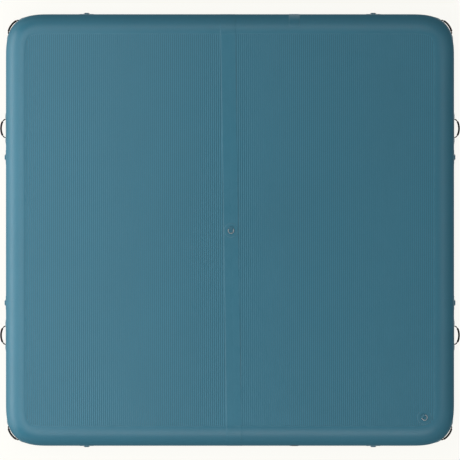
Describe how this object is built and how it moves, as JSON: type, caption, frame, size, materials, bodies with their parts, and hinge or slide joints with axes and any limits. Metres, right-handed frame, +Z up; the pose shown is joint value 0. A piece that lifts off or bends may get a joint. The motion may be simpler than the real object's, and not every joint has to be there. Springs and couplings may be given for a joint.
{
  "type": "inflatable dock platform",
  "caption": "Square inflatable platform with a ribbed flat deck, half-round rails, webbing grab handles, D-ring tie points and a flush inflation valve.",
  "frame": {"origin": "on the ground, below the middle of the float", "axes": "+X along the longer side (right in the picture), +Y towards the picture's top edge, +Z up out of the deck; the inflation valve faces -Y"},
  "size_m": [2.5046, 2.3656, 0.2078],
  "materials": {
    "deck_fabric": "satin",
    "bottom_fabric": "satin",
    "wall_fabric": "satin",
    "reinforcement_patch": "satin",
    "yarn": "matte",
    "webbing": "matte",
    "grip_rubber": "matte",
    "ring_steel": "polished",
    "spring_steel": "satin",
    "valve_plastic": "satin",
    "seal_rubber": "matte"
  },
  "bodies": {
    "float": {"deck_panel_left": "deck_fabric", "deck_panel_right": "deck_fabric", "bottom_panel_left": "bottom_fabric", "bottom_panel_right": "bottom_fabric", "deck_seam_tape": "wall_fabric", "bottom_seam_tape": "wall_fabric", "side_wall": "wall_fabric", "side_wall_joint_strap": "wall_fabric", "drop_stitch_yarns": "yarn", "centre_ring_patch": "reinforcement_patch", "corner_ring_patch": "reinforcement_patch", "ring_right_back_patch": "reinforcement_patch", "ring_right_front_patch": "reinforcement_patch", "ring_back_right_patch": "reinforcement_patch", "ring_back_left_patch": "reinforcement_patch", "ring_left_back_patch": "reinforcement_patch", "ring_left_front_patch": "reinforcement_patch", "ring_front_left_patch": "reinforcement_patch", "ring_front_right_patch": "reinforcement_patch", "handle_right_back_strap": "webbing", "handle_right_front_strap": "webbing", "handle_left_back_strap": "webbing", "handle_left_front_strap": "webbing", "corner_handle_back_right_strap": "webbing", "corner_handle_back_left_strap": "webbing", "corner_handle_front_left_strap": "webbing", "corner_handle_front_right_strap": "webbing", "handle_right_back_anchor": "reinforcement_patch", "handle_right_front_anchor": "reinforcement_patch", "handle_left_back_anchor": "reinforcement_patch", "handle_left_front_anchor": "reinforcement_patch", "corner_handle_back_right_anchor": "reinforcement_patch", "corner_handle_back_left_anchor": "reinforcement_patch", "corner_handle_front_left_anchor": "reinforcement_patch", "corner_handle_front_right_anchor": "reinforcement_patch", "valve_body": "valve_plastic", "valve_backing_nut": "valve_plastic", "valve_spring": "spring_steel"},
    "centre_ring": {"centre_ring": "ring_steel"},
    "corner_ring": {"corner_ring": "ring_steel"},
    "ring_right_back": {"ring_right_back": "ring_steel"},
    "ring_right_front": {"ring_right_front": "ring_steel"},
    "ring_back_right": {"ring_back_right": "ring_steel"},
    "ring_back_left": {"ring_back_left": "ring_steel"},
    "ring_left_back": {"ring_left_back": "ring_steel"},
    "ring_left_front": {"ring_left_front": "ring_steel"},
    "ring_front_left": {"ring_front_left": "ring_steel"},
    "ring_front_right": {"ring_front_right": "ring_steel"},
    "handle_right_back_grip": {"handle_right_back_grip": "grip_rubber"},
    "handle_right_front_grip": {"handle_right_front_grip": "grip_rubber"},
    "handle_left_back_grip": {"handle_left_back_grip": "grip_rubber"},
    "handle_left_front_grip": {"handle_left_front_grip": "grip_rubber"},
    "corner_handle_back_right_grip": {"corner_handle_back_right_grip": "grip_rubber"},
    "corner_handle_back_left_grip": {"corner_handle_back_left_grip": "grip_rubber"},
    "corner_handle_front_left_grip": {"corner_handle_front_left_grip": "grip_rubber"},
    "corner_handle_front_right_grip": {"corner_handle_front_right_grip": "grip_rubber"},
    "valve_stem": {"valve_stem": "valve_plastic", "valve_seal": "seal_rubber"},
    "valve_cap_seal": {"valve_cap_seal": "seal_rubber"},
    "valve_cap": {"valve_cap": "valve_plastic"}
  },
  "joints": [
    {"name": "centre_ring_swing", "type": "hinge", "parent": "float", "child": "centre_ring", "pos_m": [0.00553, 0.004, 0.2042], "axis": [-1, 0, 0], "range_deg": [0, 175]},
    {"name": "corner_ring_swing", "type": "hinge", "parent": "float", "child": "corner_ring", "pos_m": [1.05156, -1.01363, 0.2027], "axis": [-0.7071, -0.7071, 0], "range_deg": [0, 175]},
    {"name": "ring_right_back_swing", "type": "hinge", "parent": "float", "child": "ring_right_back", "pos_m": [1.2242, 0.39616, 0.09792], "axis": [0, -1, 0], "range_deg": [-2, 172]},
    {"name": "ring_right_front_swing", "type": "hinge", "parent": "float", "child": "ring_right_front", "pos_m": [1.2242, -0.39616, 0.09792], "axis": [0, -1, 0], "range_deg": [-2, 172]},
    {"name": "ring_back_right_swing", "type": "hinge", "parent": "float", "child": "ring_back_right", "pos_m": [0.78031, 1.1792, 0.09792], "axis": [1, 0, 0], "range_deg": [-2, 172]},
    {"name": "ring_back_left_swing", "type": "hinge", "parent": "float", "child": "ring_back_left", "pos_m": [-0.78031, 1.1792, 0.09792], "axis": [1, 0, 0], "range_deg": [-2, 172]},
    {"name": "ring_left_back_swing", "type": "hinge", "parent": "float", "child": "ring_left_back", "pos_m": [-1.2242, 0.39616, 0.09792], "axis": [0, 1, 0], "range_deg": [-2, 172]},
    {"name": "ring_left_front_swing", "type": "hinge", "parent": "float", "child": "ring_left_front", "pos_m": [-1.2242, -0.39616, 0.09792], "axis": [0, 1, 0], "range_deg": [-2, 172]},
    {"name": "ring_front_left_swing", "type": "hinge", "parent": "float", "child": "ring_front_left", "pos_m": [-0.78031, -1.1792, 0.09792], "axis": [-1, 0, 0], "range_deg": [-2, 172]},
    {"name": "ring_front_right_swing", "type": "hinge", "parent": "float", "child": "ring_front_right", "pos_m": [0.78031, -1.1792, 0.09792], "axis": [-1, 0, 0], "range_deg": [-2, 172]},
    {"name": "handle_right_back_swing", "type": "hinge", "parent": "float", "child": "handle_right_back_grip", "pos_m": [1.22155, 0.553, 0.1], "axis": [0, 1, 0], "range_deg": [-40, 40], "stiffness_Nm_per_rad": 0.25, "deforming": ["handle_right_back_strap"]},
    {"name": "handle_right_front_swing", "type": "hinge", "parent": "float", "child": "handle_right_front_grip", "pos_m": [1.22155, -0.573, 0.1], "axis": [0, 1, 0], "range_deg": [-40, 40], "stiffness_Nm_per_rad": 0.25, "deforming": ["handle_right_front_strap"]},
    {"name": "handle_left_back_swing", "type": "hinge", "parent": "float", "child": "handle_left_back_grip", "pos_m": [-1.22155, 0.553, 0.1], "axis": [0, -1, 0], "range_deg": [-40, 40], "stiffness_Nm_per_rad": 0.25, "deforming": ["handle_left_back_strap"]},
    {"name": "handle_left_front_swing", "type": "hinge", "parent": "float", "child": "handle_left_front_grip", "pos_m": [-1.22155, -0.573, 0.1], "axis": [0, -1, 0], "range_deg": [-40, 40], "stiffness_Nm_per_rad": 0.25, "deforming": ["handle_left_front_strap"]},
    {"name": "corner_handle_back_right_swing", "type": "hinge", "parent": "float", "child": "corner_handle_back_right_grip", "pos_m": [1.17849, 1.10561, 0.1], "axis": [-0.6007, 0.7995, 0], "range_deg": [-10, 10], "stiffness_Nm_per_rad": 0.25, "deforming": ["corner_handle_back_right_strap"]},
    {"name": "corner_handle_back_left_swing", "type": "hinge", "parent": "float", "child": "corner_handle_back_left_grip", "pos_m": [-1.17849, 1.10561, 0.1], "axis": [-0.6007, -0.7995, 0], "range_deg": [-10, 10], "stiffness_Nm_per_rad": 0.25, "deforming": ["corner_handle_back_left_strap"]},
    {"name": "corner_handle_front_left_swing", "type": "hinge", "parent": "float", "child": "corner_handle_front_left_grip", "pos_m": [-1.17849, -1.10561, 0.1], "axis": [0.6007, -0.7995, 0], "range_deg": [-10, 10], "stiffness_Nm_per_rad": 0.25, "deforming": ["corner_handle_front_left_strap"]},
    {"name": "corner_handle_front_right_swing", "type": "hinge", "parent": "float", "child": "corner_handle_front_right_grip", "pos_m": [1.17849, -1.10561, 0.1], "axis": [0.6007, 0.7995, 0], "range_deg": [-10, 10], "stiffness_Nm_per_rad": 0.25, "deforming": ["corner_handle_front_right_strap"]},
    {"name": "valve_stem_push", "type": "slide", "parent": "float", "child": "valve_stem", "axis": [0, 1, 0], "range_m": [0, 0.005], "stiffness_N_per_m": 400, "springref_m": -0.003, "deforming": ["valve_spring"]},
    {"name": "valve_cap_pull", "type": "slide", "parent": "float", "child": "valve_cap_seal", "axis": [0, -1, 0], "range_m": [0, 0.03]},
    {"name": "valve_cap_turn", "type": "hinge", "parent": "valve_cap_seal", "child": "valve_cap", "pos_m": [0.35, -1.175, 0.1], "axis": [0, -1, 0], "range_deg": [0, 90]}
  ]
}
